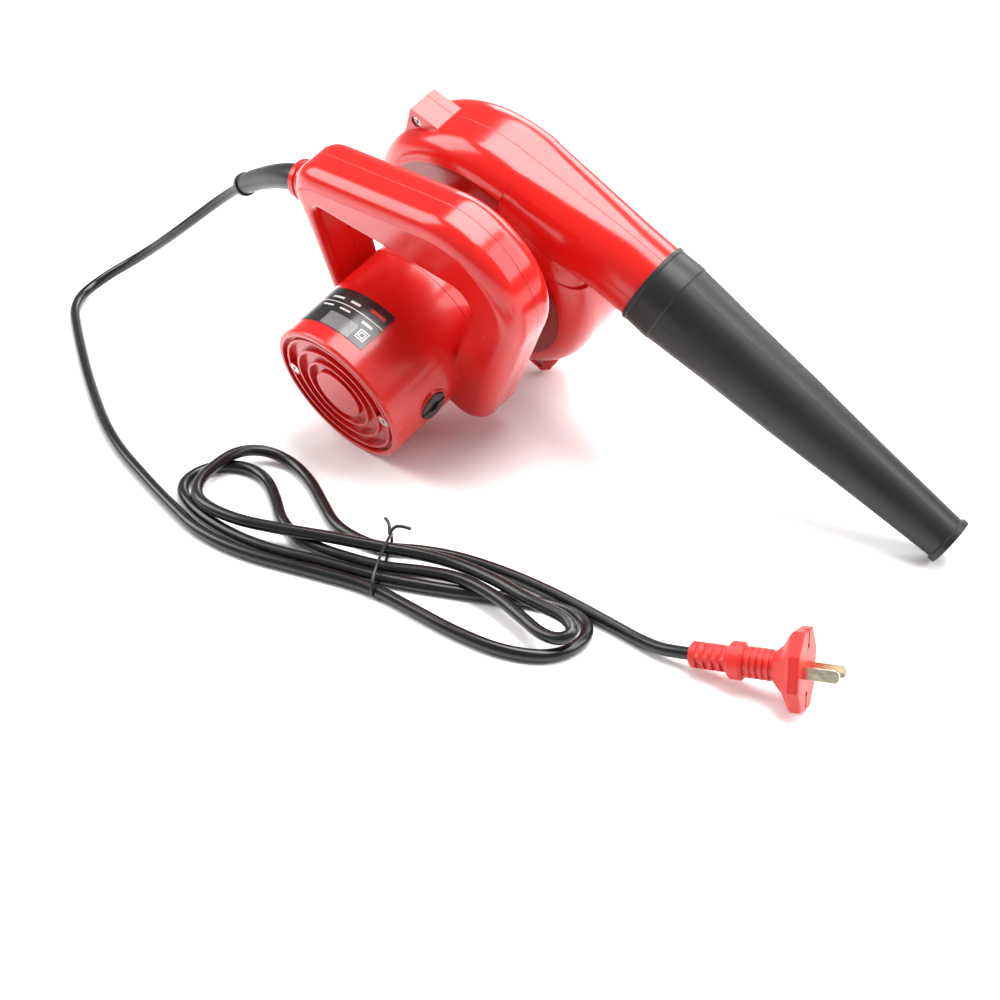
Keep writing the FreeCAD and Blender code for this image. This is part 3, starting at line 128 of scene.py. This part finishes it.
# ---------------------------------------------------------------- materials
class Look:
    """A node material with a principled shader, built up with short calls."""

    def __init__(self, name, colour, roughness, metallic=0.0):
        self.material = bpy.data.materials.new(name)
        self.material.use_nodes = True
        self.tree = self.material.node_tree
        self.shader = self.tree.nodes["Principled BSDF"]
        self.shader.inputs["Base Color"].default_value = (*colour, 1)
        self.shader.inputs["Roughness"].default_value = roughness
        self.shader.inputs["Metallic"].default_value = metallic
        self.material.diffuse_color = (*colour, 1)
        self.place = self.tree.nodes.new("ShaderNodeTexCoord").outputs["Object"]
        self.normal = None

    def set(self, **values):
        for key, value in values.items():
            self.shader.inputs[key.replace("_", " ")].default_value = value
        return self

    def link(self, source, target):
        self.tree.links.new(source, target)

    def math(self, operation, first, second=0.0):
        node = self.tree.nodes.new("ShaderNodeMath")
        node.operation = operation
        for socket, value in zip(node.inputs, (first, second)):
            if isinstance(value, (int, float)):
                socket.default_value = value
            else:
                self.link(value, socket)
        return node.outputs[0]

    def along(self, axis, centre=CENTRE):
        """Millimetres along an axis from the blower's centre."""
        shift = self.tree.nodes.new("ShaderNodeVectorMath")
        shift.operation = "SUBTRACT"
        self.link(self.place, shift.inputs[0])
        shift.inputs[1].default_value = centre
        dot = self.tree.nodes.new("ShaderNodeVectorMath")
        dot.operation = "DOT_PRODUCT"
        self.link(shift.outputs[0], dot.inputs[0])
        dot.inputs[1].default_value = axis
        return self.math("MULTIPLY", dot.outputs["Value"], 1000.0)

    def between(self, value, low, high):
        above = self.math("GREATER_THAN", value, low)
        below = self.math("LESS_THAN", value, high)
        return self.math("MULTIPLY", above, below)

    def noise(self, scale, detail=3.0, stretch=(1, 1, 1)):
        mapping = self.tree.nodes.new("ShaderNodeMapping")
        mapping.inputs["Scale"].default_value = stretch
        self.link(self.place, mapping.inputs["Vector"])
        node = self.tree.nodes.new("ShaderNodeTexNoise")
        node.inputs["Scale"].default_value = scale
        node.inputs["Detail"].default_value = detail
        self.link(mapping.outputs[0], node.inputs["Vector"])
        return node.outputs["Fac"]

    def ramp(self, value, low, high, at_low=0.0, at_high=1.0):
        node = self.tree.nodes.new("ShaderNodeMapRange")
        for socket, number in zip((1, 2, 3, 4), (low, high, at_low, at_high)):
            node.inputs[socket].default_value = number
        self.link(value, node.inputs[0])
        return node.outputs[0]

    def mix(self, factor, first, second):
        node = self.tree.nodes.new("ShaderNodeMix")
        node.data_type = "RGBA"
        if isinstance(factor, (int, float)):
            node.inputs[0].default_value = factor
        else:
            self.link(factor, node.inputs[0])
        for socket, value in ((node.inputs[6], first), (node.inputs[7], second)):
            if isinstance(value, tuple):
                socket.default_value = (*value, 1)
            else:
                self.link(value, socket)
        return node.outputs[2]

    def colour(self, source):
        self.link(source, self.shader.inputs["Base Color"])
        return source

    def rough(self, source):
        self.link(source, self.shader.inputs["Roughness"])

    def soft_edges(self, radius):
        node = self.tree.nodes.new("ShaderNodeBevel")
        node.samples = 6
        node.inputs["Radius"].default_value = radius
        self.normal = node.outputs[0]
        self.link(self.normal, self.shader.inputs["Normal"])
        return self

    def bump(self, height, strength, distance):
        node = self.tree.nodes.new("ShaderNodeBump")
        node.inputs["Strength"].default_value = strength
        node.inputs["Distance"].default_value = distance
        self.link(height, node.inputs["Height"])
        if self.normal is not None:
            self.link(self.normal, node.inputs["Normal"])
        self.normal = node.outputs[0]
        self.link(self.normal, self.shader.inputs["Normal"])
        return self


RED = (0.58, 0.008, 0.006)


def glossy_red(name, seams):
    """Moulded gloss plastic with faint flow waviness, fine scuffs and dark parting lines."""
    look = Look(name, RED, 0.2)
    look.set(Coat_Weight=0.2, Coat_Roughness=0.08, IOR=1.46)
    look.soft_edges(0.0009)
    across = look.along(MOTOR_AXIS)
    cloud = look.noise(18.0)
    base = look.mix(look.ramp(cloud, 0.35, 0.7), RED, (0.53, 0.007, 0.005))
    lines = None
    for at in seams:
        line = look.between(across, at - 0.16, at + 0.16)
        lines = line if lines is None else look.math("MAXIMUM", lines, line)
    scuff = look.ramp(look.noise(240.0, 6.0, (1, 0.15, 1)), 0.66, 0.74)
    look.rough(look.math("ADD", look.math("MULTIPLY", scuff, 0.05), look.ramp(cloud, 0.3, 0.7, 0.17, 0.27)))
    if lines is not None:
        base = look.mix(look.math("MULTIPLY", lines, 0.75), base, (0.12, 0.003, 0.002))
    look.colour(base)
    look.bump(look.noise(26.0, 1.0), 0.12, 0.0012)
    look.bump(look.noise(900.0, 2.0), 0.04, 0.0001)
    if lines is not None:
        look.bump(look.math("MULTIPLY", lines, -1.0), 0.5, 0.0002)
    return look.material


def soft_rubber(name, colour, roughness, grain=1400.0):
    look = Look(name, colour, roughness)
    look.set(IOR=1.45, Sheen_Weight=0.02, Specular_IOR_Level=0.4)
    look.soft_edges(0.0006)
    cloud = look.noise(30.0, 4.0)
    dust = look.ramp(look.noise(150.0, 8.0), 0.58, 0.8)
    pale = tuple(min(1.0, c * 2.2 + 0.012) for c in colour)
    look.colour(look.mix(look.math("MULTIPLY", dust, 0.22), colour, pale))
    look.rough(look.ramp(cloud, 0.3, 0.7, roughness - 0.06, roughness + 0.08))
    look.bump(look.noise(grain, 3.0), 0.18, 0.00012)
    look.bump(cloud, 0.08, 0.0006)
    return look.material


def metal(name, colour, roughness, stretch=(1, 1, 1), metallic=1.0):
    look = Look(name, colour, roughness, metallic)
    look.soft_edges(0.0002)
    brushed = look.noise(700.0, 3.0, stretch)
    look.rough(look.ramp(brushed, 0.3, 0.7, roughness - 0.07, roughness + 0.1))
    dark = tuple(c * 0.55 for c in colour)
    look.colour(look.mix(look.ramp(look.noise(60.0, 6.0), 0.55, 0.8), colour, dark))
    look.bump(brushed, 0.1, 0.00005)
    return look.material


def plain_plastic(name, colour, roughness):
    look = Look(name, colour, roughness)
    look.soft_edges(0.0004)
    cloud = look.noise(45.0, 4.0)
    look.rough(look.ramp(cloud, 0.3, 0.7, roughness - 0.06, roughness + 0.08))
    look.colour(look.mix(look.ramp(cloud, 0.4, 0.75), colour, tuple(c * 0.85 for c in colour)))
    look.bump(look.noise(1200.0, 2.0), 0.12, 0.00008)
    return look.material


def label_film():
    """Black gloss film with plain bars where a rating plate's wording would be."""
    look = Look("label_film", (0.012, 0.012, 0.013), 0.22)
    look.set(Coat_Weight=0.2, Coat_Roughness=0.12)
    across = look.along(MOTOR_AXIS)
    x = look.along(NOZZLE_AXIS)
    z = look.along(GRIP_AXIS)
    angle = look.math("MULTIPLY", look.math("ARCTAN2", z, x), 180.0 / math.pi)
    base = (0.012, 0.012, 0.013)
    grey = look.math("MULTIPLY", look.between(across, -142.2, -132.0), look.between(angle, 101.0, 128.0))
    colour = look.mix(grey, base, (0.17, 0.17, 0.175))
    white = look.between(across, -125.0, -124.4)
    bars = [(-121.8, -120.2, 112.0, 121.0), (-121.8, -120.2, 128.0, 141.0), (-129.4, -127.6, 93.0, 102.0),
            (-128.6, -127.4, 114.0, 124.0), (-128.6, -127.4, 131.0, 143.0)]
    for low, high, start, end in bars:
        word = look.math("MULTIPLY", look.between(across, low, high), look.between(angle, start, end))
        white = look.math("MAXIMUM", white, word)
    for half, keep in ((3.2, 1), (2.6, 0), (1.9, 1), (1.3, 0)):
        square = look.math("MULTIPLY", look.between(across, -135.4 - half, -135.4 + half),
                           look.between(angle, 94.6 - half * 1.19, 94.6 + half * 1.19))
        if keep:
            white = look.math("MAXIMUM", white, square)
        else:
            white = look.math("MULTIPLY", white, look.math("SUBTRACT", 1.0, square))
    colour = look.mix(white, colour, (0.72, 0.72, 0.72))
    red = look.math("MULTIPLY", look.between(across, -120.2, -118.2), look.between(angle, 91.0, 104.0))
    look.colour(look.mix(red, colour, (0.62, 0.03, 0.02)))
    look.rough(look.ramp(look.noise(60.0), 0.3, 0.7, 0.18, 0.3))
    look.bump(look.noise(300.0, 2.0), 0.06, 0.0001)
    return look.material


def cord_sheath():
    """Black jacket with faint lengthwise drawing marks and dust."""
    look = Look("cord_sheath", (0.006, 0.006, 0.0065), 0.26)
    look.set(IOR=1.45, Coat_Weight=0.1, Coat_Roughness=0.2)
    cloud = look.noise(40.0, 3.0)
    look.rough(look.ramp(cloud, 0.3, 0.7, 0.2, 0.32))
    dust = look.ramp(look.noise(260.0, 6.0), 0.6, 0.8)
    look.colour(look.mix(look.math("MULTIPLY", dust, 0.2), (0.006, 0.006, 0.0065), (0.035, 0.035, 0.035)))
    look.bump(look.noise(900.0, 3.0), 0.12, 0.0001)
    return look.material


RED_HANDLE = glossy_red("red_handle", (-79.0,))
RED_COVER = glossy_red("red_cover", (-79.0, -65.5))
RED_CASE = glossy_red("red_case", (0.0, -28.0))
RED_PLUG = plain_plastic("red_plug_plastic", (0.60, 0.018, 0.012), 0.42)
RUBBER = soft_rubber("nozzle_rubber", (0.010, 0.0105, 0.011), 0.42)
SLEEVE = soft_rubber("sleeve_rubber", (0.009, 0.009, 0.0095), 0.36)
SHEATH = cord_sheath()
BLACK = plain_plastic("black_plastic_part", (0.010, 0.010, 0.011), 0.33)
NYLON = plain_plastic("white_nylon_part", (0.62, 0.60, 0.55), 0.45)
BLUE = plain_plastic("lead_sheath_part", (0.05, 0.12, 0.40), 0.4)
PLATED = metal("plated_steel_part", (0.60, 0.59, 0.55), 0.30)
GROUND = metal("shaft_steel_part", (0.56, 0.56, 0.57), 0.22, (1, 0.05, 1))
SHEETS = metal("lamination_part", (0.34, 0.34, 0.35), 0.45, (1, 12, 1))
SPRING = metal("spring_steel_part", (0.52, 0.52, 0.52), 0.26)
COPPER = metal("copper_part", (0.66, 0.26, 0.10), 0.32, (6, 1, 6))
BRASS = metal("brass_part", (0.72, 0.54, 0.25), 0.30)
PINS = metal("pin_metal", (0.74, 0.66, 0.50), 0.22, (0.2, 1, 1))
CAST = metal("cast_alloy_part", (0.58, 0.58, 0.59), 0.5)
CARBON = plain_plastic("carbon_part", (0.045, 0.045, 0.05), 0.6)
LABEL = label_film()

LOOKS = {
    "motor_housing": RED_HANDLE, "handle_cover": RED_COVER, "fan_case_rear": RED_CASE, "fan_case_front": RED_CASE,
    "nozzle": RUBBER, "cord_boot": SLEEVE, "cord_end": SHEATH, "cord_tie": BLACK,
    "rotor_shaft": GROUND, "bearing_inner_races": GROUND, "bearing_outer_races": GROUND, "bearing_balls": GROUND,
    "armature_core": SHEETS, "stator_core": SHEETS, "armature_windings": COPPER, "field_windings": COPPER,
    "commutator": COPPER, "cooling_fan": NYLON, "impeller": NYLON, "impeller_nut": PLATED,
    "bearing_plate": CAST, "brush_holders": BRASS, "carbon_brushes": CARBON, "brush_springs": SPRING,
    "brush_cap_front": BLACK, "brush_cap_rear": BLACK, "trigger": BLACK, "trigger_spring": SPRING,
    "switch_body": BLACK, "suppressor_capacitor": NYLON, "inner_leads": BLUE, "cord_clamp": PLATED,
    "handle_screws": PLATED, "case_screws": PLATED, "flange_screws": PLATED, "motor_screws": PLATED,
    "rating_label": LABEL, "plug_body": RED_PLUG, "plug_pins": PINS, "cord_lead": SHEATH, "cord_hank": SHEATH,
    "plug_lead": SHEATH,
}


def dress(thing, material):
    thing.data.materials.clear()
    thing.data.materials.append(material)


for name, material in LOOKS.items():
    dress(nodes[name], material)
dress(cord, SHEATH)
for piece in (tie, tail, loose):
    dress(piece, BLACK)


# ---------------------------------------------------------------- stage
def add_floor():
    bpy.ops.mesh.primitive_plane_add(size=14.0, location=(0, 0, 0))
    floor = bpy.context.object
    floor.name = "floor"
    look = Look("floor_white", (0.93, 0.93, 0.93), 0.32)
    look.set(Specular_IOR_Level=0.35)
    look.rough(look.ramp(look.noise(3.0), 0.3, 0.7, 0.3, 0.36))
    floor.data.materials.append(look.material)


def add_light(name, place, size, power, target=(0, 0, 0.05), colour=(1, 1, 1)):
    data = bpy.data.lights.new(name, "AREA")
    data.shape = "RECTANGLE"
    data.size, data.size_y = size
    data.energy = power
    data.color = colour
    light = bpy.data.objects.new(name, data)
    light.location = place
    light.rotation_mode = "QUATERNION"
    light.rotation_quaternion = (Vector(target) - Vector(place)).to_track_quat("-Z", "Y")
    bpy.context.scene.collection.objects.link(light)


def add_world(strength):
    world = bpy.data.worlds.new("world")
    world.use_nodes = True
    world.node_tree.nodes["Background"].inputs[0].default_value = (1, 1, 1, 1)
    world.node_tree.nodes["Background"].inputs[1].default_value = strength
    bpy.context.scene.world = world


add_floor()
add_world(0.36)
add_light("top", (0.1, 0.35, 1.7), (1.5, 1.1), 56.0)
add_light("left", (-1.3, -0.5, 1.1), (0.9, 1.3), 24.0)
add_light("right", (1.2, 0.5, 1.0), (0.8, 1.2), 17.0)
add_light("back", (-0.2, 1.5, 0.9), (1.6, 0.7), 20.0)

bpy.context.view_layer.update()
